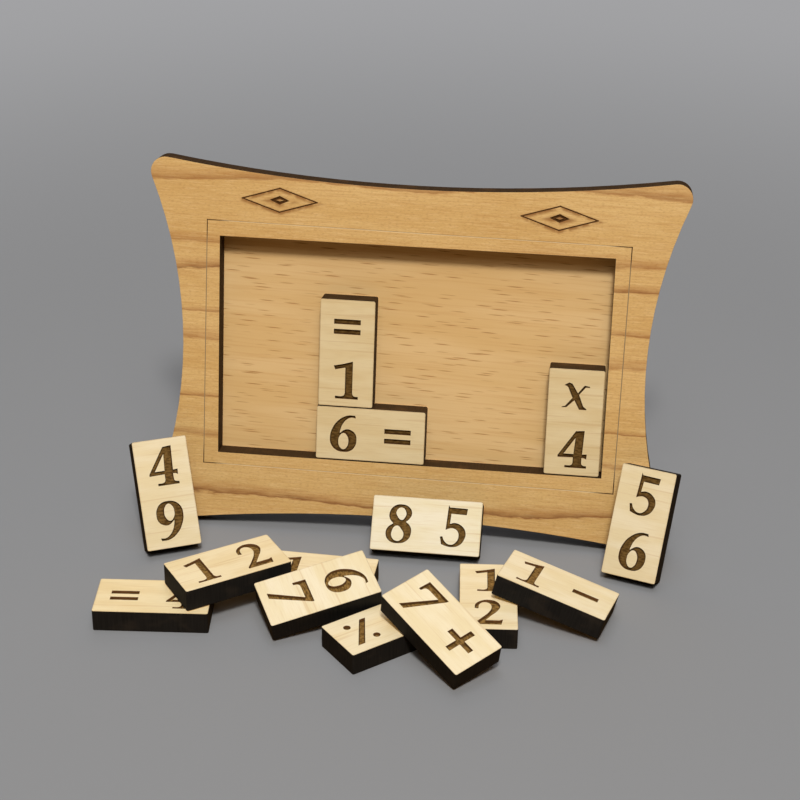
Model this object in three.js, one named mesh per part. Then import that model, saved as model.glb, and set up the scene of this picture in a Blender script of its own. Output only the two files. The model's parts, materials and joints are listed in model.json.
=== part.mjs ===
// Math tiling puzzle: fourteen domino-shaped number tiles and a framed tray that stands on a rear foot.
// The tray holds every tile in a grid of squares. Three tiles lie in it, three lean against the frame
// and eight lie in a loose heap in front, some of them tilted over their neighbours.
import * as THREE from 'three';

// Driving dimensions, in millimetres and degrees.
const CELL = 15; // one number square; a tile is two squares side by side
const SHEET = 6; // wooden sheet that the frame, the foot and the tiles are cut from
const COLUMNS = 7; // squares across the tray
const ROWS = 4; // squares up the tray
const TRAY_PLAY = 1.2; // by how much the tray is longer and taller than its squares
const TILE_ROUND = 0.5; // corner radius of a tile
const SIDE_RAIL = 10; // frame beside the tray, at its narrowest
const LONG_RAIL = 15.5; // frame above and below the tray, at its narrowest
const SIDE_ARC = 125; // radius of the hollow left and right edges
const LONG_ARC = 445; // radius of the hollow top and bottom edges
const CORNER_ROUND = 4; // radius of the frame's corners
const PANEL = 3; // thickness of the panel that makes the tray's floor
const PANEL_INSET = 3; // panel edge inside the frame's narrowest outline
const PANEL_ROUND = 4; // corner radius of the panel
const LEAN = 12; // degrees that the frame leans back
const FOOT_REACH = 42; // toe of the foot behind the line that the frame stands on
const FOOT_TOP = 58; // height of the foot along the panel, from the frame's lowest edge
const FOOT_TOE = 7; // height of the toe
const TAB_MARGIN = 2.5; // panel wood left above and below the foot's slot
const SEAT_GAP = 0.3; // clearance between pieces that touch

// Sizes that follow from these.
const TILE_LENGTH = 2 * CELL;
const trayHalfWidth = (COLUMNS * CELL + TRAY_PLAY) / 2;
const trayHalfHeight = (ROWS * CELL + TRAY_PLAY) / 2;
const waistHalfWidth = trayHalfWidth + SIDE_RAIL;
const waistHalfHeight = trayHalfHeight + LONG_RAIL;
const panelHalfWidth = waistHalfWidth - PANEL_INSET;
const panelHalfHeight = waistHalfHeight - PANEL_INSET;
const lean = THREE.MathUtils.degToRad(LEAN);
const panelFront = SHEET + SEAT_GAP;
const panelBack = panelFront + PANEL;

const FRUITWOOD = { color: 0xb98444, roughness: 0.55, metalness: 0 };
const BEECH = { color: 0xcfa06a, roughness: 0.6, metalness: 0 };
const MAPLE = { color: 0xead9b4, roughness: 0.6, metalness: 0 };

function piece(name, geometry, finish) {
  const mesh = new THREE.Mesh(geometry, new THREE.MeshStandardMaterial(finish));
  mesh.name = name;
  return mesh;
}

// Points of an arc, without its last one, which starts the next stretch.
function arc(x, y, radius, from, to, steps) {
  const points = [];
  for (let i = 0; i < steps; i += 1) {
    const angle = from + ((to - from) * i) / steps;
    points.push(new THREE.Vector2(x + radius * Math.cos(angle), y + radius * Math.sin(angle)));
  }
  return points;
}

function rectangle(left, bottom, right, top) {
  return [[left, bottom], [right, bottom], [right, top], [left, top]].map(([x, y]) => new THREE.Vector2(x, y));
}

function roundedRectangle(halfWidth, halfHeight, round) {
  const steps = 4;
  const quarter = Math.PI / 2;
  const centres = [[1, 1], [-1, 1], [-1, -1], [1, -1]];
  return centres.flatMap(([sideX, sideY], i) => {
    const x = sideX * (halfWidth - round);
    const y = sideY * (halfHeight - round);
    const corner = arc(x, y, round, i * quarter, (i + 1) * quarter, steps);
    return [...corner, new THREE.Vector2(
      x + round * Math.cos((i + 1) * quarter),
      y + round * Math.sin((i + 1) * quarter),
    )];
  });
}

// Centre of the round that runs smoothly into the hollow right edge and the hollow top edge:
// it lies one round's radius outside both of their circles.
function cornerRoundCentre() {
  const side = new THREE.Vector2(waistHalfWidth + SIDE_ARC, 0);
  const top = new THREE.Vector2(0, waistHalfHeight + LONG_ARC);
  const fromSide = SIDE_ARC + CORNER_ROUND;
  const fromTop = LONG_ARC + CORNER_ROUND;
  const apart = side.distanceTo(top);
  const along = (fromSide ** 2 - fromTop ** 2 + apart ** 2) / (2 * apart);
  const across = Math.sqrt(fromSide ** 2 - along ** 2);
  const way = top.clone().sub(side).normalize();
  return side.clone().addScaledVector(way, along).add(new THREE.Vector2(-way.y, way.x).multiplyScalar(across));
}

const cornerCentre = cornerRoundCentre();
const outlineHalfHeight = cornerCentre.y + CORNER_ROUND;

// Outline of the frame: four hollow edges joined by four round corners.
function pincushion() {
  const longSteps = 18;
  const sideSteps = 16;
  const roundSteps = 10;
  const { x, y } = cornerCentre;
  const sideX = waistHalfWidth + SIDE_ARC;
  const topY = waistHalfHeight + LONG_ARC;
  const toSide = Math.atan2(-y, sideX - x);
  const toTop = Math.atan2(topY - y, -x);
  const turn = Math.PI;
  return [
    ...arc(sideX, 0, SIDE_ARC, turn - toSide, turn + toSide, sideSteps),
    ...arc(x, y, CORNER_ROUND, toSide, toTop, roundSteps),
    ...arc(0, topY, LONG_ARC, toTop - turn, -toTop, longSteps),
    ...arc(-x, y, CORNER_ROUND, turn - toTop, turn - toSide, roundSteps),
    ...arc(-sideX, 0, SIDE_ARC, -toSide, toSide, sideSteps),
    ...arc(-x, -y, CORNER_ROUND, turn + toSide, turn + toTop, roundSteps),
    ...arc(0, -topY, LONG_ARC, toTop, turn - toTop, longSteps),
    ...arc(x, -y, CORNER_ROUND, -toTop, -toSide, roundSteps),
  ];
}

// A sheet cut along an outline, standing upright, with its front face at the given depth.
function uprightSheet(outline, holes, thickness, front) {
  const shape = new THREE.Shape(outline);
  shape.holes = holes.map((points) => new THREE.Path(points));
  const geometry = new THREE.ExtrudeGeometry(shape, { depth: thickness, bevelEnabled: false });
  return geometry.rotateX(Math.PI / 2).translate(0, front + thickness, 0);
}

// The foot's tab fills the panel behind the lower rail, where the tray doesn't show it.
const tabTop = -trayHalfHeight - TAB_MARGIN;
const tabBottom = -panelHalfHeight + TAB_MARGIN;

function frontFrame() {
  const tray = rectangle(-trayHalfWidth, -trayHalfHeight, trayHalfWidth, trayHalfHeight);
  return piece('front_frame', uprightSheet(pincushion(), [tray], SHEET, 0), FRUITWOOD);
}

function backPanel() {
  const slotHalfWidth = SHEET / 2 + SEAT_GAP;
  const slot = rectangle(-slotHalfWidth, tabBottom - SEAT_GAP, slotHalfWidth, tabTop + SEAT_GAP);
  const outline = roundedRectangle(panelHalfWidth, panelHalfHeight, PANEL_ROUND);
  return piece('back_panel', uprightSheet(outline, [slot], PANEL, panelFront), BEECH);
}

// Height on the board, measured along it, at which the table lies at a given depth behind its face.
function tableLine(depth) {
  return (depth - SHEET) * Math.tan(lean) - outlineHalfHeight;
}

// The foot's side view, with depth behind the frame's face as x and height along the board as y.
function rearFoot() {
  const front = panelBack + SEAT_GAP;
  const toeDepth = SHEET + FOOT_REACH * Math.cos(lean);
  const toe = tableLine(toeDepth);
  const top = FOOT_TOP - outlineHalfHeight;
  const profile = new THREE.Shape();
  profile.moveTo(front, tableLine(front));
  profile.lineTo(toeDepth, toe);
  profile.lineTo(toeDepth, toe + FOOT_TOE);
  profile.quadraticCurveTo(front + SHEET, toe + FOOT_TOE, front + SHEET, top);
  profile.lineTo(front, top);
  profile.lineTo(front, tabTop);
  profile.lineTo(panelFront, tabTop);
  profile.lineTo(panelFront, tabBottom);
  profile.lineTo(front, tabBottom);
  const geometry = new THREE.ExtrudeGeometry(profile, { depth: SHEET, bevelEnabled: false, curveSegments: 12 });
  geometry.translate(0, 0, -SHEET / 2);
  const sideView = new THREE.Matrix4().makeBasis(
    new THREE.Vector3(0, 1, 0),
    new THREE.Vector3(0, 0, 1),
    new THREE.Vector3(1, 0, 0),
  );
  return piece('rear_foot', geometry.applyMatrix4(sideView), FRUITWOOD);
}

// A tile lies with its long side along x and its back at z = 0, until it is placed.
function tile(name) {
  const shape = new THREE.Shape(roundedRectangle(TILE_LENGTH / 2, CELL / 2, TILE_ROUND));
  return piece(name, new THREE.ExtrudeGeometry(shape, { depth: SHEET, bevelEnabled: false }), MAPLE);
}

// Turns a piece so that its long side and its face point the given ways, and sets its back's centre down.
function settle(mesh, back, longWay, faceWay) {
  const across = new THREE.Vector3().crossVectors(faceWay, longWay);
  mesh.quaternion.setFromRotationMatrix(new THREE.Matrix4().makeBasis(longWay, across, faceWay));
  mesh.position.copy(back);
  return mesh;
}

// Tiles in the tray. They stand on its lower wall or on each other, faces level with the frame.
function trayTile(name, left, bottom, tall) {
  const width = tall ? CELL : TILE_LENGTH;
  const height = tall ? TILE_LENGTH : CELL;
  const back = new THREE.Vector3(left + width / 2, SHEET, bottom + height / 2);
  const longWay = tall ? new THREE.Vector3(0, 0, 1) : new THREE.Vector3(1, 0, 0);
  return settle(tile(name), back, longWay, new THREE.Vector3(0, -1, 0));
}

function trayTiles() {
  const floor = -trayHalfHeight + SEAT_GAP;
  const leftPair = -trayHalfWidth + 1.83 * CELL;
  const rightEnd = trayHalfWidth - 0.05 * CELL - CELL;
  return [
    trayTile('tile_equals_over_1', leftPair + 0.02 * CELL, floor + CELL + SEAT_GAP, true),
    trayTile('tile_6_equals', leftPair, floor, false),
    trayTile('tile_times_over_4', rightEnd, floor, true),
  ];
}

// The frame, its panel and foot and the tiles in the tray lean back together. The frame's lower back
// edge stands on the table along the x axis.
function board() {
  const group = new THREE.Group();
  group.add(frontFrame(), backPanel(), rearFoot(), ...trayTiles());
  group.rotation.x = -lean;
  const lowest = new THREE.Vector3(0, SHEET, -outlineHalfHeight).applyEuler(group.rotation);
  group.position.copy(lowest.negate());
  return group;
}

// A tile that stands on its lower back edge and leans on the frame's face with one upper corner, or
// with its whole upper edge where it isn't turned.
// The lower edge's centre is at (x, y). Its heading is the turn of that edge seen from above.
function leaningTile(name, x, y, heading, tall) {
  const turn = THREE.MathUtils.degToRad(heading);
  const edgeWay = new THREE.Vector3(Math.cos(turn), Math.sin(turn), 0);
  const backWay = new THREE.Vector3(-Math.sin(turn), Math.cos(turn), 0);
  const height = tall ? TILE_LENGTH : CELL;
  const halfEdge = tall ? CELL / 2 : CELL;
  const foot = new THREE.Vector3(x, y, 0);
  const touching = foot.clone().addScaledVector(edgeWay, Math.sign(turn) * halfEdge);
  const frameWay = new THREE.Vector3(0, -Math.cos(lean), Math.sin(lean));
  const room = frameWay.dot(touching) - SHEET - SEAT_GAP;
  // The upper corner lies at room + height * (sin(tilt) * back + cos(tilt) * up) from the frame's face.
  const back = frameWay.dot(backWay);
  const up = frameWay.z;
  const tilt = Math.atan2(back, up) + Math.acos(-room / (height * Math.hypot(back, up)));
  const faceUp = backWay.clone().multiplyScalar(Math.sin(tilt)).setZ(Math.cos(tilt));
  const faceWay = new THREE.Vector3().crossVectors(edgeWay, faceUp);
  return settle(tile(name), foot.addScaledVector(faceUp, height / 2), tall ? faceUp : edgeWay, faceWay);
}

// Corners of a tile seen from above, counterclockwise.
function footprint(place) {
  const turn = THREE.MathUtils.degToRad(place.heading);
  const centre = new THREE.Vector2(place.x, place.y);
  return rectangle(-TILE_LENGTH / 2, -CELL / 2, TILE_LENGTH / 2, CELL / 2)
    .map((corner) => corner.rotateAround(new THREE.Vector2(), turn).add(centre));
}

// The part of one convex outline that lies inside another.
function clip(outline, window) {
  return window.reduce((points, start, i) => {
    const way = window[(i + 1) % window.length].clone().sub(start);
    const inside = (point) => way.cross(point.clone().sub(start));
    return points.flatMap((point, j) => {
      const next = points[(j + 1) % points.length];
      const here = inside(point);
      const there = inside(next);
      const kept = here >= 0 ? [point] : [];
      const crossing = here * there < 0 ? [point.clone().lerp(next, here / (here - there))] : [];
      return [...kept, ...crossing];
    });
  }, outline);
}

// The plane through three points, as its height over a place and its slopes.
function planeThrough(a, b, c) {
  const normal = new THREE.Triangle(a, b, c).getNormal(new THREE.Vector3());
  const slopeX = -normal.x / normal.z;
  const slopeY = -normal.y / normal.z;
  return { slopeX, slopeY, heightAt: (x, y) => a.z + slopeX * (x - a.x) + slopeY * (y - a.y) };
}

// Whether a tile's centre lies over three points of support that aren't in one line.
function holdsCentre(a, b, c, place) {
  const flat = new THREE.Triangle(...[a, b, c].map((point) => new THREE.Vector3(point.x, point.y, 0)));
  const smallest = SEAT_GAP * SEAT_GAP;
  return flat.getArea() > smallest && flat.containsPoint(new THREE.Vector3(place.x, place.y, 0));
}

// Where a tile comes to rest on what lies under it: the plane through three points of support that
// hold up its centre, with no other point of support above it.
function restingPlane(place, supports) {
  const outline = footprint(place);
  const points = outline.map((corner) => new THREE.Vector3(corner.x, corner.y, 0));
  for (const support of supports) {
    const shared = clip(footprint(support), outline);
    points.push(...shared.map((point) => new THREE.Vector3(point.x, point.y, SHEET)));
  }
  const slack = 1e-6;
  for (let i = 0; i < points.length; i += 1) {
    for (let j = i + 1; j < points.length; j += 1) {
      for (let k = j + 1; k < points.length; k += 1) {
        const three = [points[i], points[j], points[k]];
        if (holdsCentre(...three, place)) {
          const plane = planeThrough(...three);
          const above = points.some((point) => point.z > plane.heightAt(point.x, point.y) + slack);
          if (!above) return plane;
        }
      }
    }
  }
  throw new Error('a tile of the heap has nothing under its centre');
}

// A tile of the heap: flat on the table, or at rest on the flat tiles under it.
function heapTile(name, place, supports) {
  const plane = supports.length > 0 ? restingPlane(place, supports) : { slopeX: 0, slopeY: 0, heightAt: () => 0 };
  const turn = THREE.MathUtils.degToRad(place.heading);
  const faceWay = new THREE.Vector3(-plane.slopeX, -plane.slopeY, 1).normalize();
  const rise = plane.slopeX * Math.cos(turn) + plane.slopeY * Math.sin(turn);
  const longWay = new THREE.Vector3(Math.cos(turn), Math.sin(turn), rise).normalize();
  const back = new THREE.Vector3(place.x, place.y, plane.heightAt(place.x, place.y));
  if (supports.length > 0) back.addScaledVector(faceWay, SEAT_GAP);
  return settle(tile(name), back, longWay, faceWay);
}

// A place in front of the frame, in squares from the middle of the line that the frame stands on.
function spot(x, y, heading) {
  return { x: x * CELL, y: y * CELL, heading };
}

function heap() {
  const equalsFour = spot(-4.04, -3.42, 5);
  const oneHidden = spot(-1.33, -2.21, -1.7);
  const divide = spot(0.06, -3.65, 41);
  const oneTwoTall = spot(1.72, -2.63, 95);
  return [
    heapTile('tile_equals_4', equalsFour, []),
    heapTile('tile_1_equals', oneHidden, []),
    heapTile('tile_divide_3', divide, []),
    heapTile('tile_1_over_2', oneTwoTall, []),
    heapTile('tile_1_2', spot(-2.84, -2.83, 36), [equalsFour, oneHidden]),
    heapTile('tile_6_over_7', spot(-1.19, -3.07, 26), [oneHidden]),
    heapTile('tile_7_plus', spot(0.99, -3.9, -43), [divide, oneTwoTall]),
    heapTile('tile_1_minus', spot(2.83, -2.52, -15), [oneTwoTall]),
  ];
}

// Leaning tiles. The outer two touch the frame just outside its narrowest width.
function leaningTiles() {
  const outer = waistHalfWidth + 0.02 * CELL;
  return [
    leaningTile('tile_4_over_9', -outer, -1.26 * CELL, 24.5, true),
    leaningTile('tile_5_over_6', outer, -1.09 * CELL, -16.5, true),
    leaningTile('tile_8_5', 0.44 * CELL, -0.88 * CELL, 0, false),
  ];
}

// The whole puzzle stands on the table, with the middle of its underside at the origin.
const puzzle = new THREE.Group();
puzzle.add(board(), ...leaningTiles(), ...heap());
const box = new THREE.Box3().setFromObject(puzzle, true);
const middle = box.getCenter(new THREE.Vector3());
puzzle.position.set(-middle.x, -middle.y, -box.min.z);

export default puzzle;
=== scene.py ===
# %% [markdown]
# # A number tiling puzzle in laser-cut wood
#
# The puzzle is a framed tray and fourteen loose tiles, all cut by laser from thin wooden sheet. What makes
# it look real is little: pale wood faces, nearly black burnt edges, and numerals that are burnt into the
# wood and not printed on it. This lesson loads the measured model, then rebuilds each piece with its
# engraving cut into the mesh, and gives every wood its own grain.

# %% Load the measured model
import json
import math

import bmesh
import bpy
from mathutils import Matrix, Vector


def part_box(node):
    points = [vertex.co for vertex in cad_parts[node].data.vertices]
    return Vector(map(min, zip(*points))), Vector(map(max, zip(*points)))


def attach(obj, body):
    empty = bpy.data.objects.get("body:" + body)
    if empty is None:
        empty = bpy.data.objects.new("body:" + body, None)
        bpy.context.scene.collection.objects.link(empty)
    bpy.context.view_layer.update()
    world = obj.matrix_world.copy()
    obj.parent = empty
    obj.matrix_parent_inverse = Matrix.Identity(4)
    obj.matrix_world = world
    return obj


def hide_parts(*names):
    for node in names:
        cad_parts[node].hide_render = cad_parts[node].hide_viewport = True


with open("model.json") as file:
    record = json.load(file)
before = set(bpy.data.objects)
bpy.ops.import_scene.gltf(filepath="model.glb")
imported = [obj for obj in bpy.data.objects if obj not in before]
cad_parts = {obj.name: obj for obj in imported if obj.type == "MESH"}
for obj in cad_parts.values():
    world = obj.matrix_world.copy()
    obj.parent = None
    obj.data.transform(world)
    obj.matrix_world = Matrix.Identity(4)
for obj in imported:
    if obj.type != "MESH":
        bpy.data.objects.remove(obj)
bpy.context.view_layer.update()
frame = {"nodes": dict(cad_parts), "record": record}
MM = 0.001

# %% [markdown]
# ## Finding how each piece lies
#
# Every piece is a flat sheet, but it leans, lies tilted or stands in the tray. We could type in each
# tile's turn, but the measured model already knows it. A sheet's largest flat side faces out, and its
# second largest side gives the direction of an edge. From these two come a place and three axes: right and
# up as a reader of its numerals sees them, and out of its face. All modelling then happens flat, with the
# face at z = 0, and the finished mesh is moved to its place at the end.

# %% Read the axes of a flat piece
TOWARDS_READER = Vector((0, -1, 1))
AWAY_AND_UP = Vector((0, 1, 1))
SAME_DIRECTION = 0.999


def flat_directions(node):
    """The directions that a node's flat sides face, the largest side first."""
    sides = []
    for face in frame["nodes"][node].data.polygons:
        known = [side for side in sides if abs(side["faces"].dot(face.normal)) > SAME_DIRECTION]
        if known:
            known[0]["area"] += face.area
        else:
            sides.append({"faces": face.normal.copy(), "area": face.area})
    sides.sort(key=lambda side: side["area"], reverse=True)
    return [side["faces"] for side in sides]


def reading_axes(node, reads):
    """Right, up and out, as a reader of the node's numerals sees them."""
    out, edge = flat_directions(node)[:2]
    if out.dot(TOWARDS_READER) < 0:
        out = -out
    if reads == "tall":
        right, up = edge, out.cross(edge)
        upright = up.dot(AWAY_AND_UP) > 0
    else:
        right, up = edge.cross(out), edge
        upright = right.x > 0
    return (right, up, out) if upright else (-right, -up, out)


def seat(node, reads="wide"):
    """The matrix that carries a flat drawing to the node's face, and the node's three sizes."""
    axes = reading_axes(node, reads)
    corners = [vertex.co for vertex in frame["nodes"][node].data.vertices]
    spans = []
    for axis in axes:
        along = [corner.dot(axis) for corner in corners]
        spans.append((min(along), max(along)))
    right, up, out = axes
    middle = right * sum(spans[0]) / 2 + up * sum(spans[1]) / 2 + out * spans[2][1]
    turn = Matrix(axes).transposed().to_4x4()
    return Matrix.Translation(middle) @ turn, [high - low for low, high in spans]


TILE_WIDTH, CELL, SHEET = seat("tile_8_5")[1]
print("tile in mm:", [round(size / MM, 2) for size in (TILE_WIDTH, CELL, SHEET)])

# %% [markdown]
# ## The camera
#
# The camera stands in front of the puzzle, a little to the right, and looks down on it. Its lens is long,
# so parallel edges hardly run together. It could be aimed by eye, but then everything in the picture
# would be a little off, so its values were solved from corners that were read in the photo. Its place is
# counted from the middle of the frame's face. The image is square, and the small roll is the hand of
# whoever held the camera.

# %% Set up the camera
CAMERA_FROM_FRAME = Vector((50.7, -467.7, 242.8)) * MM
LOOKS_DOWN = math.radians(28.54)
TURNED_LEFT = math.radians(6.56)
ROLL = math.radians(0.65)
LENS_MM = 87.86
SENSOR_MM = 36


def add_object(name, data):
    """A new object in the scene, at the origin."""
    thing = bpy.data.objects.new(name, data)
    bpy.context.scene.collection.objects.link(thing)
    return thing


board_matrix, board_size = seat("front_frame")
camera_place = board_matrix.translation + CAMERA_FROM_FRAME
camera = add_object("camera", bpy.data.cameras.new("camera"))
camera.data.lens = LENS_MM
camera.data.sensor_width = SENSOR_MM
level = Matrix.Rotation(math.pi / 2 - LOOKS_DOWN, 4, "X") @ Matrix.Rotation(ROLL, 4, "Z")
camera.matrix_world = Matrix.Translation(camera_place) @ Matrix.Rotation(TURNED_LEFT, 4, "Z") @ level
bpy.context.scene.camera = camera
print("camera at", [round(value, 3) for value in camera_place])

# %% [markdown]
# ## Building materials from nodes
#
# Wood is drawn by a few layers of noise, each stretched along the grain. The noise needs coordinates
# that run along the grain of every piece, whichever way the piece lies. Object coordinates would all be
# level with the table, so each piece gets a UV map named grain, in millimetres: u runs along the grain,
# v across. The helpers below keep the node trees short.

# %% Colours, materials and links
def srgb(text):
    """A colour as written in a paint program, such as d9b070, made linear for the shader."""
    channels = [int(text[i:i + 2], 16) / 255 for i in (0, 2, 4)]
    linear = [c / 12.92 if c <= 0.04045 else ((c + 0.055) / 1.055) ** 2.4 for c in channels]
    return (*linear, 1)


def new_material(name, roughness, specular=0.3):
    material = bpy.data.materials.new(name)
    material.use_nodes = True
    shader = material.node_tree.nodes["Principled BSDF"]
    shader.inputs["Roughness"].default_value = roughness
    shader.inputs["Specular IOR Level"].default_value = specular
    return material, material.node_tree, shader


def connect(tree, source, target):
    """Links an output socket to an input, or sets the input where the source is a plain value."""
    if isinstance(source, bpy.types.NodeSocket):
        tree.links.new(source, target)
    else:
        target.default_value = source


print("a honey colour made linear:", [round(value, 3) for value in srgb("d9b070")])


# %% Maps and noise
GRAIN_MAP = "grain"


def uv_of(tree, name):
    node = tree.nodes.new("ShaderNodeUVMap")
    node.uv_map = name
    return node.outputs["UV"]


def stretched(tree, along, across, shift, turn):
    """The grain map, so stretched that one noise cell is that long along and across the grain, in mm."""
    mapping = tree.nodes.new("ShaderNodeMapping")
    mapping.vector_type = "TEXTURE"
    mapping.inputs["Location"].default_value = (shift, shift, 0)
    mapping.inputs["Rotation"].default_value = (0, 0, turn)
    mapping.inputs["Scale"].default_value = (along, across, 1)
    tree.links.new(uv_of(tree, GRAIN_MAP), mapping.inputs["Vector"])
    return mapping.outputs["Vector"]


def x_and_y(tree, vector):
    node = tree.nodes.new("ShaderNodeSeparateXYZ")
    tree.links.new(vector, node.inputs["Vector"])
    return node.outputs["X"], node.outputs["Y"]


def noise(tree, along, across, shift=0, turn=0, detail=2, roughness=0.5):
    """Noise on the grain map, from 0 to 1."""
    node = tree.nodes.new("ShaderNodeTexNoise")
    node.noise_dimensions = "2D"
    node.inputs["Scale"].default_value = 1
    node.inputs["Detail"].default_value = detail
    node.inputs["Roughness"].default_value = roughness
    tree.links.new(stretched(tree, along, across, shift, turn), node.inputs["Vector"])
    return node.outputs["Fac"]


print("the noises read the map named", GRAIN_MAP)


# %% Sums, blends and relief
def between(tree, value, low, high):
    """0 where the value is under low, 1 over high, and a smooth rise between them."""
    node = tree.nodes.new("ShaderNodeMapRange")
    node.interpolation_type = "SMOOTHSTEP"
    node.inputs["From Min"].default_value = low
    node.inputs["From Max"].default_value = high
    connect(tree, value, node.inputs["Value"])
    return node.outputs["Result"]


def maths(tree, operation, first, second=0.0):
    node = tree.nodes.new("ShaderNodeMath")
    node.operation = operation
    connect(tree, first, node.inputs[0])
    connect(tree, second, node.inputs[1])
    return node.outputs["Value"]


def blend(tree, factor, first, second):
    node = tree.nodes.new("ShaderNodeMix")
    node.data_type = "RGBA"
    connect(tree, factor, node.inputs["Factor"])
    connect(tree, first, node.inputs["A"])
    connect(tree, second, node.inputs["B"])
    return node.outputs["Result"]


def tint(tree, under, colour, amount, strength=1.0):
    """Lays a colour over what is under it, where the amount is high, and at most by the strength."""
    return blend(tree, maths(tree, "MULTIPLY", amount, strength), under, srgb(colour))


def raise_surface(tree, shader, height, depth_mm):
    """A fine relief in the shader, for what is too small to model."""
    node = tree.nodes.new("ShaderNodeBump")
    node.inputs["Distance"].default_value = depth_mm * MM
    connect(tree, height, node.inputs["Height"])
    tree.links.new(node.outputs["Normal"], shader.inputs["Normal"])


print("helpers made:", [helper.__name__ for helper in (between, maths, blend, tint, raise_surface)])

# %% [markdown]
# ## Fruitwood for the frame
#
# The frame is a honey-coloured fruitwood whose grain runs sideways. Its growth rings cross the whole
# board as reddish-brown lines, sharp below and fading upwards, and no two are equally far apart. A wave
# texture would space them evenly, so each ring gets a height, a darkness and a fade, and one colour ramp
# draws them all. Noise bends the rings and frays them, and finer noise draws fibres and pores. Smoke has
# browned the wood beside the two burnt lozenges of the top rail and drifted a little downwards. A second
# UV map named place, in millimetres from the middle of the piece, says where on the board a point is.

# %% Draw the growth rings
# The rings' heights and lengths are in mm from the middle of the board.
RINGS = (
    {"height": -43.5, "darkness": 0.95, "fade": 3.0},
    {"height": -27.0, "darkness": 0.85, "fade": 2.5},
    {"height": -16.5, "darkness": 1.0, "fade": 1.5},
    {"height": 1.0, "darkness": 0.75, "fade": 4.0},
    {"height": 10.5, "darkness": 0.95, "fade": 2.0},
    {"height": 20.8, "darkness": 1.0, "fade": 3.0},
    {"height": 28.5, "darkness": 0.8, "fade": 4.0},
    {"height": 46.0, "darkness": 0.85, "fade": 4.0},
)
RING_EDGE = 0.2
BOARD_REACH = 55
RING_BEND = 9
RING_FRAY = 1.2
BLACK = (0, 0, 0, 1)


def ring_height(tree):
    """How high a point lies on the board in mm, as the bent and frayed rings count it."""
    bend = maths(tree, "SUBTRACT", noise(tree, along=70, across=16, shift=20, detail=1), 0.5)
    fray = maths(tree, "SUBTRACT", noise(tree, along=5, across=1.2), 0.5)
    height = x_and_y(tree, uv_of(tree, GRAIN_MAP))[1]
    bent = maths(tree, "ADD", height, maths(tree, "MULTIPLY", bend, RING_BEND))
    return maths(tree, "ADD", bent, maths(tree, "MULTIPLY", fray, RING_FRAY))


def ring_lines(tree, height):
    """Dark at every ring's height, sharp below it and fading upwards."""
    node = tree.nodes.new("ShaderNodeValToRGB")
    stops = node.color_ramp.elements
    stops[0].color = stops[1].color = BLACK
    for ring in RINGS:
        middle, shade = ring["height"], ring["darkness"]
        for place, grey in ((middle - RING_EDGE, 0), (middle, shade), (middle + ring["fade"], 0)):
            stops.new(place / (2 * BOARD_REACH) + 0.5).color = (grey, grey, grey, 1)
    share = maths(tree, "ADD", maths(tree, "DIVIDE", height, 2 * BOARD_REACH), 0.5)
    tree.links.new(share, node.inputs["Fac"])
    return node.outputs["Color"]


print("growth rings:", len(RINGS))

# %% Draw the smoke
PLACE_MAP = "place"
LOZENGE_PLACE = Vector((2.49 * CELL, 2.725 * CELL))
LOZENGE_HALF = Vector((0.672 * CELL, 0.215 * CELL))
SMOKE_DRIFT = 0.35 * MM


def lozenge_smoke(tree):
    """1 on the lines of the lozenges and round their middles, fading out beside them, in patches."""
    x, y = x_and_y(tree, uv_of(tree, PLACE_MAP))
    beside = maths(tree, "SUBTRACT", maths(tree, "ABSOLUTE", x), LOZENGE_PLACE.x / MM)
    above = maths(tree, "SUBTRACT", y, (LOZENGE_PLACE.y - SMOKE_DRIFT) / MM)
    share_x = maths(tree, "DIVIDE", maths(tree, "ABSOLUTE", beside), LOZENGE_HALF.x / MM)
    share_y = maths(tree, "DIVIDE", maths(tree, "ABSOLUTE", above), LOZENGE_HALF.y / MM)
    reach = maths(tree, "ADD", share_x, share_y)
    off_line = maths(tree, "ABSOLUTE", maths(tree, "SUBTRACT", reach, 1.0))
    clear = maths(tree, "MULTIPLY", between(tree, off_line, 0.0, 0.3), between(tree, reach, 0.25, 0.65))
    patches = between(tree, noise(tree, along=3, across=3, shift=60), 0.25, 0.55)
    return maths(tree, "MULTIPLY", maths(tree, "SUBTRACT", 1.0, clear), patches)


print("lozenges in mm from the middle:", [round(value / MM, 1) for value in LOZENGE_PLACE])


# %% Make the fruitwood
def make_fruitwood():
    material, tree, shader = new_material("fruitwood", roughness=0.55)
    clouds = noise(tree, along=60, across=9, shift=33)
    fibres = noise(tree, along=14, across=0.5, detail=3, roughness=0.6)
    gleams = noise(tree, along=5, across=0.35, shift=41, roughness=0.6)
    pores = noise(tree, along=1.0, across=0.28, shift=7, roughness=0.7)
    rings = ring_lines(tree, ring_height(tree))
    honey = blend(tree, between(tree, clouds, 0.3, 0.7), srgb("e6c182"), srgb("ddb574"))
    fibred = tint(tree, honey, "c08c4e", between(tree, fibres, 0.38, 0.78), strength=0.42)
    gleaming = tint(tree, fibred, "f4d39c", between(tree, gleams, 0.5, 0.75), strength=0.4)
    dotted = tint(tree, gleaming, "a8743a", between(tree, pores, 0.5, 0.72), strength=0.3)
    streaky = maths(tree, "MULTIPLY", rings, between(tree, fibres, 0.15, 0.5))
    banded = tint(tree, dotted, "a96a35", streaky, strength=0.65)
    ringed = tint(tree, banded, "683a1a", maths(tree, "POWER", rings, 5), strength=0.85)
    smoked = tint(tree, ringed, "8e5826", lozenge_smoke(tree), strength=0.75)
    tree.links.new(smoked, shader.inputs["Base Color"])
    raise_surface(tree, shader, pores, depth_mm=0.02)
    return material


fruitwood = make_fruitwood()
print("made", fruitwood.name)

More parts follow.
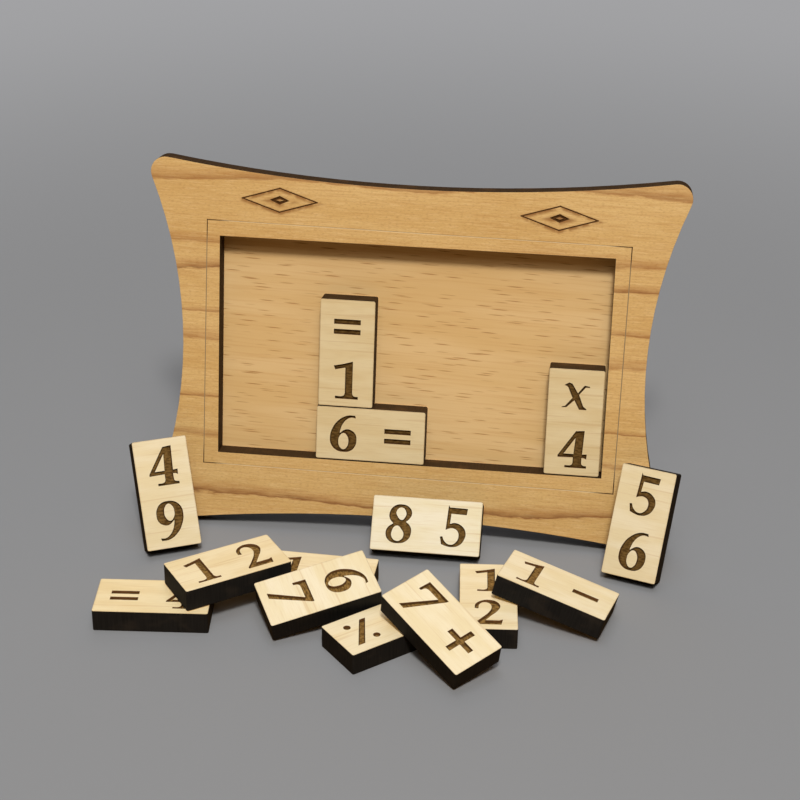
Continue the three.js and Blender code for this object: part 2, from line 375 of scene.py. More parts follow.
# %% [markdown]
# ## Beech for the tray's floor
#
# Beech is told by its flecks: short darker dashes, about four millimetres long and hair-thin, scattered
# evenly over a tan ground. The peaks of a noise come in clusters, so the dashes are drawn by a Voronoi
# texture instead: it strews one point in each cell and tells how far away the nearest point is.
# Stretched far along the grain, the close surroundings of every point become a dash. The panel's grain
# is a few degrees off level, as on any board cut by eye.

# %% Make the beech
BEECH_TURN = math.radians(-2)


def strewn_points(tree, along, across, shift, turn):
    """How far the nearest of many points is, with one point strewn in each cell of the grain map."""
    node = tree.nodes.new("ShaderNodeTexVoronoi")
    node.voronoi_dimensions = "2D"
    node.inputs["Scale"].default_value = 1
    tree.links.new(stretched(tree, along, across, shift, turn), node.inputs["Vector"])
    return node.outputs["Distance"]


def make_beech():
    material, tree, shader = new_material("beech", roughness=0.55)
    clouds = noise(tree, along=60, across=7, shift=80, turn=BEECH_TURN)
    bands = noise(tree, along=25, across=0.6, shift=50, turn=BEECH_TURN)
    dashes = strewn_points(tree, along=16, across=0.95, shift=90, turn=BEECH_TURN)
    faint = noise(tree, along=9, across=1.5, shift=70, turn=BEECH_TURN, detail=1)
    kept = maths(tree, "SUBTRACT", between(tree, faint, 0.2, 0.7), between(tree, dashes, 0.05, 0.22))
    flecks = maths(tree, "MAXIMUM", kept, 0.0)
    tan = blend(tree, between(tree, clouds, 0.3, 0.7), srgb("eac790"), srgb("e3bd82"))
    banded = tint(tree, tan, "d3a367", between(tree, bands, 0.45, 0.8), strength=0.35)
    flecked = tint(tree, banded, "a56d33", flecks, strength=0.75)
    tree.links.new(flecked, shader.inputs["Base Color"])
    raise_surface(tree, shader, maths(tree, "SUBTRACT", bands, flecks), depth_mm=0.02)
    return material


beech = make_beech()
print("made", beech.name)

# %% [markdown]
# ## Maple for the tiles
#
# The tiles are a pale cream wood with hardly any figure: faint streaks along the reading direction and
# now and then a thin darker growth line. No two come from the same spot of the board. That could be
# fourteen materials, but one is enough if each tile carries an attribute named tone, from pale at 0 to
# warm at 1. Smoke from the cutting has tinted a narrow rim along each edge. How far a point is from the
# tile's edge is read from the map named place.

# %% Make the maple
RIM_MM = 0.4
TONE = "tone"


def insets(tree, half_x, half_y):
    """How far a point of the place map lies inside a rectangle, sideways and up or down."""
    x, y = x_and_y(tree, uv_of(tree, PLACE_MAP))
    inside_x = maths(tree, "SUBTRACT", half_x, maths(tree, "ABSOLUTE", x))
    inside_y = maths(tree, "SUBTRACT", half_y, maths(tree, "ABSOLUTE", y))
    return inside_x, inside_y


def make_maple():
    material, tree, shader = new_material("maple", roughness=0.55)
    tone = tree.nodes.new("ShaderNodeAttribute")
    tone.attribute_name = TONE
    clouds = between(tree, noise(tree, along=20, across=4, shift=17, detail=3), 0.3, 0.7)
    fibres = noise(tree, along=6, across=0.3, shift=23, detail=3)
    lines = noise(tree, along=40, across=0.9, shift=29, detail=1)
    smoke = noise(tree, along=2.5, across=2.5, shift=15)
    pale = blend(tree, clouds, srgb("ece3cb"), srgb("e6dab7"))
    warm = blend(tree, clouds, srgb("ebd7aa"), srgb("e4cc9b"))
    cream = blend(tree, tone.outputs["Fac"], pale, warm)
    fibred = tint(tree, cream, "cbad78", between(tree, fibres, 0.45, 0.85), strength=0.24)
    lined = tint(tree, fibred, "c49a64", between(tree, lines, 0.66, 0.74), strength=0.25)
    inside = maths(tree, "MINIMUM", *insets(tree, TILE_WIDTH / 2 / MM, CELL / 2 / MM))
    rim = maths(tree, "SUBTRACT", 1.0, between(tree, inside, 0.0, RIM_MM))
    smoked = tint(tree, lined, "a67c45", maths(tree, "MULTIPLY", rim, smoke), strength=0.6)
    tree.links.new(smoked, shader.inputs["Base Color"])
    raise_surface(tree, shader, fibres, depth_mm=0.015)
    return material


maple = make_maple()
print("made", maple.name)

# %% [markdown]
# ## Burnt wood
#
# The laser leaves five kinds of burn. Most tiles' cut edges are nearly black, with fine ribs across the
# sheet where the beam stepped along. The frame's cut edges only burnt to a dark brown, and the three tiles
# in the tray get that brown too, as painted light, because their top edges face the lamps. The floor of
# an engraving is a middle brown with hair-thin raster lines, because the beam went to and fro over it,
# and its steep walls are darker. The corners below the walls get painted shade from an occlusion mask. An
# attribute on each tile paints shade into the engravings of the upright tiles and leaves those of the
# lying tiles paler, as painted light. A quick score with little power stays pale and only burns where the
# beam turns a corner and slows down. On its level runs the pale middle is fresh wood with a painted
# highlight, and its upright runs are kept darker, as painted shade in the groove.

# %% Make the cut edges
def make_cut_edge(name, dark, light, patch):
    material, tree, shader = new_material(name, roughness=0.75, specular=0.12)
    ribs = noise(tree, along=0.35, across=9)
    patches = noise(tree, along=7, across=5, shift=3)
    ribbed = blend(tree, ribs, srgb(dark), srgb(light))
    patched = tint(tree, ribbed, patch, between(tree, patches, 0.5, 0.8), strength=0.6)
    tree.links.new(patched, shader.inputs["Base Color"])
    raise_surface(tree, shader, ribs, depth_mm=0.06)
    return material


charred_edge = make_cut_edge("charred_edge", "121110", "242220", "302a24")
# The frame, panel and foot burnt to this brown; on the three tray tiles it is painted light.
browned_and_lit_edge = make_cut_edge("browned_and_lit_edge", "2c1e0f", "46311a", "543a1f")
print("made", charred_edge.name, "and", browned_and_lit_edge.name)

# %% Make the engraved surfaces
# Each tile's value of this attribute paints shade into its engravings.
ENGRAVING_SHADE = "darkening"
RASTER_PITCH_MM = 0.3
# A wave texture at scale 1 repeats itself after this length.
WAVE_PERIOD = math.tau / 20
# How far the painted shade in the corners of an engraving reaches from its walls.
CORNER_SHADE_REACH = 0.5 * MM


def make_engraved_floor():
    material, tree, shader = new_material("engraved_floor", roughness=0.8, specular=0.12)
    raster = tree.nodes.new("ShaderNodeTexWave")
    raster.bands_direction = "Y"
    raster.inputs["Scale"].default_value = WAVE_PERIOD / RASTER_PITCH_MM
    raster.inputs["Distortion"].default_value = 0.6
    tree.links.new(uv_of(tree, GRAIN_MAP), raster.inputs["Vector"])
    patches = noise(tree, along=1.3, across=0.5, shift=2, detail=3)
    # Painted shade and light: the tile's value darkens the engravings of the upright tiles and leaves
    # those of the lying tiles paler.
    darkening = tree.nodes.new("ShaderNodeAttribute")
    darkening.attribute_name = ENGRAVING_SHADE
    mottled = blend(tree, between(tree, patches, 0.3, 0.7), srgb("614620"), srgb("aa8449"))
    engraving_shaded = tint(tree, mottled, "4a3312", darkening.outputs["Fac"], strength=0.55)
    lined = tint(tree, engraving_shaded, "3f2c0e", raster.outputs["Fac"], strength=0.5)
    # Painted shade: an occlusion mask darkens the floor in the corners below the walls.
    corner_occlusion = tree.nodes.new("ShaderNodeAmbientOcclusion")
    corner_occlusion.only_local = True
    corner_occlusion.inputs["Distance"].default_value = CORNER_SHADE_REACH
    corner_shaded = blend(tree, between(tree, corner_occlusion.outputs["AO"], 0.45, 1.0), srgb("2a1a08"), lined)
    tree.links.new(corner_shaded, shader.inputs["Base Color"])
    raise_surface(tree, shader, raster.outputs["Fac"], depth_mm=0.05)
    return material


def make_engraved_wall():
    material, tree, shader = new_material("engraved_wall", roughness=0.8, specular=0.12)
    patches = noise(tree, along=0.8, across=0.8, shift=5)
    tree.links.new(blend(tree, patches, srgb("3d2610"), srgb("6b4520")), shader.inputs["Base Color"])
    return material


engraved_floor = make_engraved_floor()
engraved_wall = make_engraved_wall()
print("made", engraved_floor.name, "and", engraved_wall.name)

# %% Make the scored line
# The tray holds seven by four squares, with a little play.
TRAY_PLAY = 1.2 * MM
TRAY_HALF = Vector((7 * CELL + TRAY_PLAY, 4 * CELL + TRAY_PLAY)) / 2
SCORE_MARGIN = 3.8 * MM
SCORE_HALF = TRAY_HALF + Vector((SCORE_MARGIN, SCORE_MARGIN))
BURNT_TO_MM = 2
PALE_FROM_MM = 7
# Upright runs of the score pale at most this far; the rest is painted shade of the groove's wall.
UPRIGHT_SHADED_PALENESS = 0.55


def make_scored_line():
    material, tree, shader = new_material("scored_line", roughness=0.8, specular=0.15)
    from_side, from_end = insets(tree, SCORE_HALF.x / MM, SCORE_HALF.y / MM)
    # Pale in the middle of the level runs, fresh wood with a painted highlight; dark at the corners, where
    # the beam burnt more.
    level = between(tree, from_side, BURNT_TO_MM, PALE_FROM_MM)
    off_corner = between(tree, from_end, BURNT_TO_MM, PALE_FROM_MM)
    # Painted shade: the upright runs stay darker, as if their groove's wall shaded them.
    upright = maths(tree, "MULTIPLY", off_corner, UPRIGHT_SHADED_PALENESS)
    pale_and_highlit = maths(tree, "MAXIMUM", level, upright)
    tree.links.new(blend(tree, pale_and_highlit, srgb("452b14"), srgb("d3bb93")), shader.inputs["Base Color"])
    return material


scored_line = make_scored_line()
print("made", scored_line.name)

# %% [markdown]
# ## From a flat mesh to a finished piece
#
# Three steps are the same for every piece. Sheet faces get their wood and cut edges get the char. The
# grain map is laid: on sheet faces straight from x and y, and on cut edges round the edge and through
# the sheet. An unwrap by Blender would turn the grain as it likes. Last, the mesh is moved to its place,
# so its object can stay at the origin, and the piece takes over from the plain node and rides on that
# node's body.

# %% Finish a piece
BODY_OF = {}
for body, nodes in frame["record"]["behaviour"]["bodies"].items():
    for node in nodes:
        BODY_OF[node] = body
FLAT = 0.9
MORE_LEVEL_THAN_STEEP = 0.5


def paint_sheet(mesh, level, steep):
    """One material on the two faces of a sheet, another on all its cut edges."""
    mesh.materials.append(level)
    mesh.materials.append(steep)
    for face in mesh.polygons:
        face.material_index = 0 if abs(face.normal.z) > FLAT else 1


def write_value(mesh, name, value):
    attribute = mesh.attributes.new(name, "FLOAT", "POINT")
    attribute.data.foreach_set("value", [value] * len(mesh.vertices))


def lay_grain(mesh, shift, upright=False):
    """Writes the maps, in mm. The shift gives each piece another part of the wood. The place map stays
    at its origin on the back of a sheet, where no smoke has settled."""
    grain = mesh.uv_layers.new(name=GRAIN_MAP)
    place = mesh.uv_layers.new(name=PLACE_MAP)
    for face in mesh.polygons:
        flat = abs(face.normal.z) > MORE_LEVEL_THAN_STEEP
        for loop in face.loop_indices:
            x, y, z = mesh.vertices[mesh.loops[loop].vertex_index].co / MM
            across = (x, y) if flat else (x + y, z)
            grain.data[loop].uv = (across[0] + shift, across[1] + shift)
            if face.normal.z > -FLAT:
                place.data[loop].uv = (y, x) if upright else (x, y)


def put_in_place(mesh, node, matrix, name):
    """Moves the flat mesh to where the node is, and lets the piece stand for that node."""
    mesh.transform(matrix)
    piece = add_object(name, mesh)
    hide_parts(node)
    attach(piece, BODY_OF[node])
    return piece


print("pieces to rebuild:", len(BODY_OF))

# %% [markdown]
# ## Drawing the numerals
#
# The numerals are upright ones with thick stems and small feet, in the way of a book face. A text object
# without a font file has only the plain letters of Blender's own font, which has no such feet, so each
# numeral is drawn here as an outline of a few points, a hundred units tall.
# A plain point is a corner, and a point with ~ before it is smooth: the curve runs through it with
# automatic handles. A second outline inside the first is a hole, because a flat curve fills only what
# lies between them. The nine is the six turned upside down, and the o is the small lozenge of the frame.
# Corners inside one straight line would leave slivers in the cut, so the plus narrows by a hair inwards.

# %% Outlines of the numerals and signs
OUTLINES = {
    "1": ["49,100 49,16 ~52,9 64,7 64,0 5,0 5,7 ~27,9 30,16 30,83 4,77 0,87 ~26,93"],
    "2": ["1,67 ~4,86 ~20,100 ~35,103 ~55,95 ~63,77 ~57,58 ~41,36 27,17 60,17 69,21 65,0 0,0 0,5 "
          "~20,29 ~36,52 ~42,72 ~37,87 ~25,92 ~14,85 10,65"],
    "3": ["4,84 ~18,97 ~36,100 ~53,92 ~57,77 ~50,63 38,56 ~54,49 ~62,33 ~55,12 ~36,0 ~15,2 0,10 6,18 "
          "~20,9 ~34,11 ~43,23 ~43,37 ~34,46 18,48 18,54 ~34,60 ~40,74 ~34,88 ~22,90 8,79"],
    "4": ["65,100 62,37 74,38 73,24 68,27 61,28 61,14 ~63,9 74,6 74,0 19,0 19,6 ~36,8 39,14 39,28 "
          "0,27 0,32 43,98", "43,80 15,37 40,37"],
    "5": ["17,107 20,101 66,100 64,84 25,85 23,59 ~36,62 ~54,55 ~64,40 ~62,22 ~50,6 ~30,0 ~16,2 4,6 "
          "0,25 6,26 ~12,14 ~28,6 ~41,13 ~47,28 ~43,42 ~32,48 ~22,47 13,43"],
    "6": ["64,99 ~44,98 ~22,85 ~6,62 ~0,36 ~4,17 ~17,4 ~36,0 ~54,4 ~66,18 ~69,35 ~66,49 ~55,59 ~41,61 "
          "25,50 ~27,60 ~32,74 ~42,87 ~53,93 66,92",
          "~35,51 ~45,43 ~48,27 ~43,12 ~35,7 ~26,13 ~22,29 ~26,44"],
    "7": ["1,100 72,100 71,94 25,0 8,0 53,83 21,83 ~11,80 7,67 0,67"],
    "8": ["~37,100 ~57,93 ~64,78 ~59,65 50,56 ~61,46 ~65,30 ~56,9 ~31,0 ~8,7 ~0,24 ~5,40 18,50 ~8,62 "
          "~7,78 ~17,94", "~37,92 ~49,80 ~46,66 ~39,60 ~27,70 ~24,81",
          "~27,45 ~40,36 ~46,22 ~38,8 ~28,6 ~17,14 ~15,28"],
    "=": ["0,0 68,0 68,13 0,13", "0,26 68,26 68,39 0,39"],
    "+": ["31,0 46,0 45.8,31.2 77,31 77,46 45.8,45.8 46,77 31,77 31.2,45.8 0,46 0,31 31.2,31.2"],
    "-": ["0,0 66,0 66,16 0,16"],
    "x": ["4,63 16,70 24,67 39,43 50,58 55,64 68,62 68,59 58,59 42,39 54,9 63,2 62,0 44,0 31,24 14,7 "
          "12,5 0,4 0,6 8,8 26,30 14,57 11,60"],
    "o": ["0,11 25,0 50,11 25,22", "15,11 25,8 35,11 25,14"],
    "/": ["0,0 19,0 75,87 58,87", "~25,75 ~16,84 ~7,75 ~16,66", "~69,13 ~60,22 ~51,13 ~60,4"],
}
DRAWN_HEIGHT = 100
NUMERAL_HEIGHT = 0.715 * CELL


def read_outline(drawing):
    """The points of an outline, each with its place and whether the curve is smooth there."""
    points = []
    for word in drawing.split():
        x, y = (float(value) for value in word.lstrip("~").split(","))
        points.append((Vector((x, y)), word.startswith("~")))
    return points


def glyph_outlines(sign):
    """The outlines of a sign round its own middle. What rises over the drawn height doesn't shift it."""
    upside_down = sign == "9"
    outlines = [read_outline(drawing) for drawing in OUTLINES["6" if upside_down else sign]]
    places = [place for outline in outlines for place, smooth in outline]
    across, upward = zip(*places)
    middle = Vector((max(across) / 2, min(max(upward), DRAWN_HEIGHT) / 2))
    scale = NUMERAL_HEIGHT / DRAWN_HEIGHT * (-1 if upside_down else 1)
    return [[((place - middle) * scale, smooth) for place, smooth in outline] for outline in outlines]


print("signs drawn:", " ".join(sorted(OUTLINES)))

# %% [markdown]
# ## Turning outlines into cutters
#
# An engraving could be a bump in the shader, but then it would have no walls and throw no shadow. So a
# solid of the numeral's form is cut out of the tile. Blender fills a flat curve and extrudes it both
# ways, so a curve that lies on the tile's face gives a solid that reaches half into the wood. Converted
# to a mesh, its flat triangles are joined, because a cut with slivers would leave open seams. Its walls
# and floor get their own burnt materials, which the cut then hands on to the tile.

# %% Clean meshes
MERGE_DISTANCE = 0.0005 * MM
SAME_PLANE = math.radians(0.5)


def join_flat(bm):
    """Merges doubles and joins the triangles that lie in one plane."""
    bmesh.ops.remove_doubles(bm, verts=bm.verts, dist=MERGE_DISTANCE)
    bmesh.ops.dissolve_limit(bm, angle_limit=SAME_PLANE, verts=bm.verts, edges=bm.edges)


def plain_mesh(bm, name):
    mesh = bpy.data.meshes.new(name)
    bm.to_mesh(mesh)
    bm.free()
    return mesh


def closed_mesh(bm, name):
    """A clean mesh from a bmesh: doubles merged and faces pointing out."""
    bmesh.ops.remove_doubles(bm, verts=bm.verts, dist=MERGE_DISTANCE)
    bmesh.ops.recalc_face_normals(bm, faces=bm.faces)
    return plain_mesh(bm, name)


def shown_mesh(thing):
    """What a curve fills, or what a mesh becomes by its modifiers, as a new mesh."""
    bpy.context.view_layer.update()
    return bpy.data.meshes.new_from_object(thing.evaluated_get(bpy.context.evaluated_depsgraph_get()))


print("doubles merge within", MERGE_DISTANCE / MM, "mm")

# %% Make cutters and cut
CURVE_STEPS = 6


def draw_outline(curve, outline, middle):
    """Adds one closed outline to a curve, with its corners and its smooth points."""
    spline = curve.splines.new("BEZIER")
    spline.use_cyclic_u = True
    spline.bezier_points.add(len(outline) - 1)
    for point, (place, smooth) in zip(spline.bezier_points, outline):
        point.co = (place + middle).to_3d()
        point.handle_left_type = point.handle_right_type = "AUTO" if smooth else "VECTOR"


def sign_cutter(signs_and_middles, depth, floor):
    """One solid for all the signs of a piece, each with its middle at a place on the face."""
    curve = bpy.data.curves.new("signs", "CURVE")
    curve.dimensions = "2D"
    curve.fill_mode = "BOTH"
    curve.extrude = depth
    curve.resolution_u = CURVE_STEPS
    for sign, middle in signs_and_middles:
        for outline in glyph_outlines(sign):
            draw_outline(curve, outline, middle)
    drawn = add_object("signs", curve)
    bm = bmesh.new()
    bm.from_mesh(shown_mesh(drawn))
    bpy.data.objects.remove(drawn)
    join_flat(bm)
    cutter = closed_mesh(bm, "sign_cutter")
    paint_sheet(cutter, floor, engraved_wall)
    return cutter


def engrave(mesh, cutter, overlapping=False):
    """The mesh with the cutter taken out of it. The cutter's materials stay on the new faces."""
    wood = add_object("wood", mesh)
    tool = add_object("tool", cutter)
    cut = wood.modifiers.new("cut", "BOOLEAN")
    cut.operation = "DIFFERENCE"
    cut.solver = "EXACT"
    cut.use_self = overlapping
    cut.material_mode = "TRANSFER"
    cut.object = tool
    result = shown_mesh(wood)
    for helper in (wood, tool):
        bpy.data.objects.remove(helper)
    return result


print("steps from point to point of a smooth outline:", CURVE_STEPS)

# %% [markdown]
# ## The tiles
#
# A tile starts as a cube, stretched to size. Its four upright edges are rounded a little, as the beam
# does at a corner, and then the rims of both faces are broken by a hair, so that they catch the light.
# Each tile has two squares. On a wide tile the signs stand side by side, on a tall one above each other.
# The three tiles in the tray get brown edges, a painted light because their top edges face the lamps, and
# the others black ones.

# %% What stands on the tiles
INSCRIPTIONS = {
    # The last value paints shade into a tile's engravings: high on the tiles that stand upright, low on
    # those that lie.
    "tile_equals_over_1": {"reads": "tall", "signs": "=1", "tone": 0.9, "darkening": 1},
    "tile_6_equals": {"reads": "wide", "signs": "6=", "tone": 0.9, "darkening": 1},
    "tile_times_over_4": {"reads": "tall", "signs": "x4", "tone": 0.9, "darkening": 1},
    "tile_4_over_9": {"reads": "tall", "signs": "49", "tone": 0.5, "darkening": 0.8},
    "tile_5_over_6": {"reads": "tall", "signs": "56", "tone": 0.5, "darkening": 1},
    "tile_8_5": {"reads": "wide", "signs": "85", "tone": 0.1, "darkening": 0.8},
    "tile_equals_4": {"reads": "wide", "signs": "=4", "tone": 0.9, "darkening": 0.2},
    "tile_1_equals": {"reads": "wide", "signs": "1=", "tone": 0.6, "darkening": 0.2},
    "tile_divide_3": {"reads": "wide", "signs": "/3", "tone": 0.5, "darkening": 0.2},
    "tile_1_over_2": {"reads": "tall", "signs": "12", "tone": 0.5, "darkening": 0.1},
    "tile_1_2": {"reads": "wide", "signs": "12", "tone": 0.7, "darkening": 0},
    "tile_6_over_7": {"reads": "tall", "signs": "67", "tone": 0.3, "darkening": 0.2},
    "tile_7_plus": {"reads": "wide", "signs": "7+", "tone": 0.4, "darkening": 0.3},
    "tile_1_minus": {"reads": "wide", "signs": "1-", "tone": 0.4, "darkening": 0},
}
# Painted light: the tray tiles get the lighter brown char, because their top edges face the lamps.
LIT_BROWN_EDGED = ("tile_equals_over_1", "tile_6_equals", "tile_times_over_4")
print("tiles to build:", [tile["signs"] for tile in INSCRIPTIONS.values()])

# %% Build the tiles
TILE_ROUND = 0.5 * MM
BROKEN_EDGE = 0.1 * MM
ENGRAVING_DEPTH = 0.7 * MM
GRAIN_STEP = 37.3


def soften(bm, edges, size, segments):
    bmesh.ops.bevel(
        bm, geom=edges, offset=size, affect="EDGES", segments=segments, profile=0.5, material=-1,
        clamp_overlap=True,
    )


def rim_edges(bm):
    """The edges at which a sheet's face meets a cut edge."""
    def is_rim(edge):
        flat = [abs(face.normal.z) > FLAT for face in edge.link_faces]
        return len(flat) == 2 and flat[0] != flat[1]

    bm.normal_update()
    return [edge for edge in bm.edges if is_rim(edge)]


def plain_tile(width, height):
    bm = bmesh.new()
    bmesh.ops.create_cube(bm, size=1)
    bmesh.ops.scale(bm, vec=(width, height, SHEET), verts=bm.verts)
    bmesh.ops.translate(bm, vec=(0, 0, -SHEET / 2), verts=bm.verts)
    upright = [edge for edge in bm.edges if abs(edge.verts[0].co.z - edge.verts[1].co.z) > SHEET / 2]
    soften(bm, upright, TILE_ROUND, segments=3)
    soften(bm, rim_edges(bm), BROKEN_EDGE, segments=2)
    return closed_mesh(bm, "tile")


def build_tile(number, node):
    tile = INSCRIPTIONS[node]
    tall = tile["reads"] == "tall"
    matrix, size = seat(node, tile["reads"])
    mesh = plain_tile(size[0], size[1])
    paint_sheet(mesh, maple, browned_and_lit_edge if node in LIT_BROWN_EDGED else charred_edge)
    step = Vector((0, -CELL / 2)) if tall else Vector((CELL / 2, 0))
    signs = list(zip(tile["signs"], (-step, step)))
    mesh = engrave(mesh, sign_cutter(signs, ENGRAVING_DEPTH, engraved_floor))
    lay_grain(mesh, number * GRAIN_STEP, upright=tall)
    write_value(mesh, TONE, tile["tone"])
    write_value(mesh, ENGRAVING_SHADE, tile["darkening"])
    return put_in_place(mesh, node, matrix, node + "_engraved")


tiles = [build_tile(number, node) for number, node in enumerate(INSCRIPTIONS)]
print("tiles:", len(tiles), "faces on the first:", len(tiles[0].data.polygons))

# %% [markdown]
# ## The frame
#
# The frame's outline is already right in the measured model, so its piece starts as a copy of that mesh:
# doubles merged, flat triangles joined, rims broken. Then come the burnt lines: a fine score round the
# tray and a lozenge on either side of the top rail, with a small thick one inside. Each thin line is cut
# by a square bar that stands on its edge, nearly half of it in the wood, and overruns the corner a
# little, as the beam does. The thick lozenges are cut like the numerals.

# %% Cutters for the burnt lines
LINE_WIDTH = 0.42 * MM
SCORE_WIDTH = 0.3 * MM
PALE, BURNT = 0, 1
BAR_LIFT = 0.02 * MM


def burnt_line(bm, start, end, width, darkening):
    """A square bar along a line on the face, on its edge, so that it cuts a groove of that width."""
    way = end - start
    side = width / math.sqrt(2)
    size = Matrix.Diagonal((way.length + width, side, side, 1))
    turn = Matrix.Rotation(math.atan2(way.y, way.x), 4, "Z") @ Matrix.Rotation(math.pi / 4, 4, "X")
    place = Matrix.Translation(((start + end) / 2).to_3d() + Vector((0, 0, BAR_LIFT)))
    bar = bmesh.ops.create_cube(bm, size=1, matrix=place @ turn @ size)
    for face in {face for corner in bar["verts"] for face in corner.link_faces}:
        face.material_index = darkening


def burnt_loop(bm, corners, width, darkening):
    for start, end in zip(corners, corners[1:] + corners[:1]):
        burnt_line(bm, start, end, width, darkening)


def lozenge(middle, half):
    points = [Vector((half.x, 0)), Vector((0, half.y)), Vector((-half.x, 0)), Vector((0, -half.y))]
    return [middle + point for point in points]


def rectangle(half):
    return [Vector((half.x * right, half.y * up)) for right, up in ((1, 1), (-1, 1), (-1, -1), (1, -1))]


def line_cutter():
    bm = bmesh.new()
    burnt_loop(bm, rectangle(SCORE_HALF), SCORE_WIDTH, PALE)
    for middle in lozenge_middles:
        burnt_loop(bm, lozenge(middle, LOZENGE_HALF), LINE_WIDTH, BURNT)
    mesh = plain_mesh(bm, "line_cutter")
    mesh.materials.append(scored_line)
    mesh.materials.append(engraved_wall)
    return mesh


lozenge_middles = [Vector((side * LOZENGE_PLACE.x, LOZENGE_PLACE.y)) for side in (-1, 1)]
print("score in mm from the middle:", [round(value / MM, 1) for value in SCORE_HALF])

# %% Build the frame
LOZENGE_DEPTH = 0.4 * MM


def cut_sheet(node, matrix):
    """A clean copy of a node's mesh, laid flat, with its rims broken."""
    bm = bmesh.new()
    bm.from_mesh(frame["nodes"][node].data)
    bmesh.ops.transform(bm, matrix=matrix.inverted(), verts=bm.verts)
    join_flat(bm)
    soften(bm, rim_edges(bm), BROKEN_EDGE, segments=2)
    return closed_mesh(bm, node)


frame_mesh = cut_sheet("front_frame", board_matrix)
paint_sheet(frame_mesh, fruitwood, browned_and_lit_edge)
frame_mesh = engrave(frame_mesh, line_cutter(), overlapping=True)
thick_lozenges = sign_cutter([("o", middle) for middle in lozenge_middles], LOZENGE_DEPTH, engraved_wall)
frame_mesh = engrave(frame_mesh, thick_lozenges)
lay_grain(frame_mesh, shift=0)
put_in_place(frame_mesh, "front_frame", board_matrix, "scored_frame")
print("frame in mm:", [round(size / MM, 1) for size in board_size])

# %% [markdown]
# ## The tray's floor and the rear foot
#
# Both are plain cut sheets. Their outlines could be drawn anew, but the measured model has them already,
# so both start as copies, like the frame. The panel lies behind the frame and shows through the tray. The
# foot stands behind it, edge on, so its sheet faces left and right and its axes are given.

# %% Build the panel and the foot
panel_matrix = seat("back_panel")[0]
panel_mesh = cut_sheet("back_panel", panel_matrix)
paint_sheet(panel_mesh, beech, browned_and_lit_edge)
lay_grain(panel_mesh, shift=3 * GRAIN_STEP)
put_in_place(panel_mesh, "back_panel", panel_matrix, "tray_floor")

foot_low, foot_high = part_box("rear_foot")
foot_axes = Matrix(((0, 0, 1), (1, 0, 0), (0, 1, 0))).to_4x4()
foot_matrix = Matrix.Translation((foot_low + foot_high) / 2) @ foot_axes
foot_mesh = cut_sheet("rear_foot", foot_matrix)
paint_sheet(foot_mesh, fruitwood, browned_and_lit_edge)
lay_grain(foot_mesh, shift=0)
put_in_place(foot_mesh, "rear_foot", foot_matrix, "strut_foot")
print("panel and foot in place")

# %% [markdown]
# ## Table and light
#
# A plain grey sheet lies under everything. Far from the puzzle it fades into an even grey backdrop, which
# only the camera sees, so that no view ends in darkness. The light that the sheet throws back into the
# tray's shadow is made warm, because among wooden things such light is brown and not grey. A lamp above
# and in front, a little to the right, throws the shadow of the top rail into the tray. A large soft box
# round it draws that shadow's edge out. A lamp overhead and a weak one behind light the upper edges and
# leave the table before the frame a little darker, and a warm dim sky stands for the light that wooden
# things throw on each other.

# %% Build the table
FLOOR_SIZE = 6.0
TABLE_COLOUR = "898b8f"
BOUNCED_COLOUR = "8b6d49"
BACKDROP_COLOUR = "a1a1a3"
FADE_START = 0.18
FADE_END = 0.55


def make_table_grey():
    material, tree, shader = new_material("table_grey", roughness=0.8, specular=0.1)
    distance = tree.nodes.new("ShaderNodeVectorMath")
    distance.operation = "LENGTH"
    tree.links.new(tree.nodes.new("ShaderNodeTexCoord").outputs["Object"], distance.inputs[0])
    seen = tree.nodes.new("ShaderNodeLightPath").outputs["Is Camera Ray"]
    far = between(tree, distance.outputs["Value"], FADE_START, FADE_END)
    fading = maths(tree, "MULTIPLY", seen, far)
    lit = blend(tree, seen, srgb(BOUNCED_COLOUR), srgb(TABLE_COLOUR))
    tree.links.new(blend(tree, fading, lit, BLACK), shader.inputs["Base Color"])
    shader.inputs["Emission Color"].default_value = srgb(BACKDROP_COLOUR)
    tree.links.new(fading, shader.inputs["Emission Strength"])
    return material


def make_table():
    bm = bmesh.new()
    bmesh.ops.create_grid(bm, x_segments=1, y_segments=1, size=FLOOR_SIZE / 2)
    mesh = plain_mesh(bm, "table")
    mesh.materials.append(make_table_grey())
    table = add_object("table", mesh)


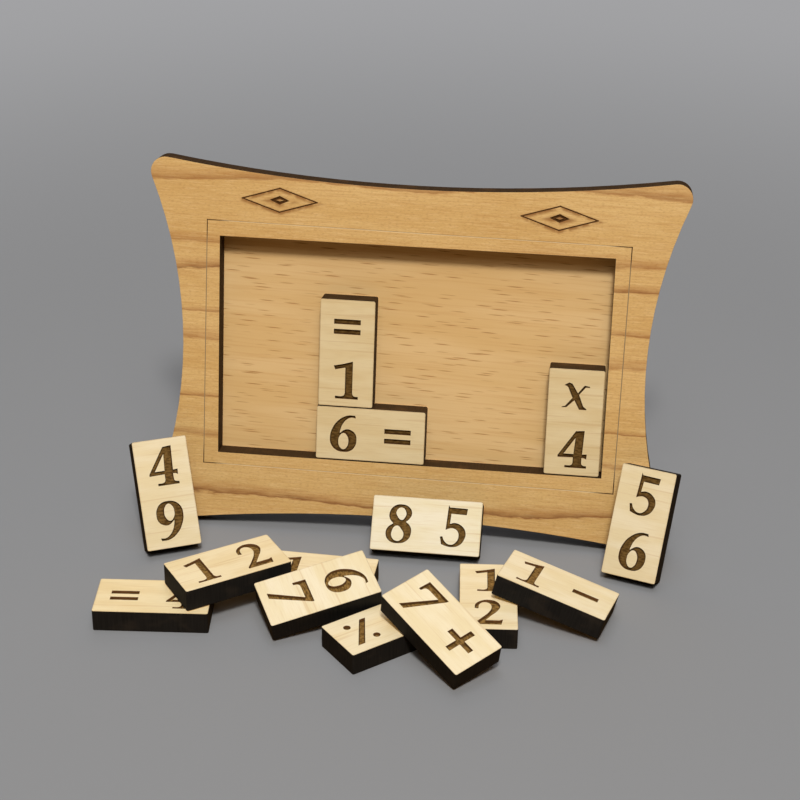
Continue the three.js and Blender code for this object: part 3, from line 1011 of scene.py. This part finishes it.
make_table()
print("table in m:", FLOOR_SIZE)

# %% Light it
SKY_COLOUR = (1.0, 0.5, 0.16, 1)
SKY_STRENGTH = 0.04
WARM_WHITE = (1.0, 0.965, 0.9)
COOL_WHITE = (0.95, 0.97, 1.0)
BLUISH_WHITE = (0.9, 0.96, 1.0)
FRONT = Vector((0.21, -1.33, 2.0))
OVERHEAD = Vector((0.0, 0.05, 1.6))
BEHIND = Vector((-0.15, 0.75, 0.8))


def soft_lamp(name, place, size, watts, colour):
    """A square lamp that looks at the origin."""
    light = bpy.data.lights.new(name, "AREA")
    light.size = size
    light.energy = watts
    light.color = colour
    lamp = add_object(name, light)
    aim = place.to_track_quat("Z", "Y").to_matrix().to_4x4()
    lamp.matrix_world = Matrix.Translation(place) @ aim


def make_sky():
    """A warm dim light from all sides, and the grey backdrop where the camera sees past the table."""
    sky = bpy.data.worlds.new("sky")
    sky.use_nodes = True
    tree = sky.node_tree
    glow = tree.nodes["Background"]
    glow.inputs["Color"].default_value = SKY_COLOUR
    glow.inputs["Strength"].default_value = SKY_STRENGTH
    backdrop = tree.nodes.new("ShaderNodeBackground")
    backdrop.inputs["Color"].default_value = srgb(BACKDROP_COLOUR)
    seen = tree.nodes.new("ShaderNodeLightPath").outputs["Is Camera Ray"]
    either = tree.nodes.new("ShaderNodeMixShader")
    tree.links.new(seen, either.inputs["Fac"])
    tree.links.new(glow.outputs["Background"], either.inputs[1])
    tree.links.new(backdrop.outputs["Background"], either.inputs[2])
    tree.links.new(either.outputs["Shader"], tree.nodes["World Output"].inputs["Surface"])
    bpy.context.scene.world = sky


make_sky()
soft_lamp("front", FRONT, size=0.32, watts=38, colour=WARM_WHITE)
soft_lamp("front_box", FRONT, size=1.3, watts=16, colour=WARM_WHITE)
soft_lamp("overhead", OVERHEAD, size=0.9, watts=6, colour=COOL_WHITE)
soft_lamp("back", BEHIND, size=0.7, watts=1.7, colour=BLUISH_WHITE)
bpy.context.scene.view_settings.view_transform = "Standard"
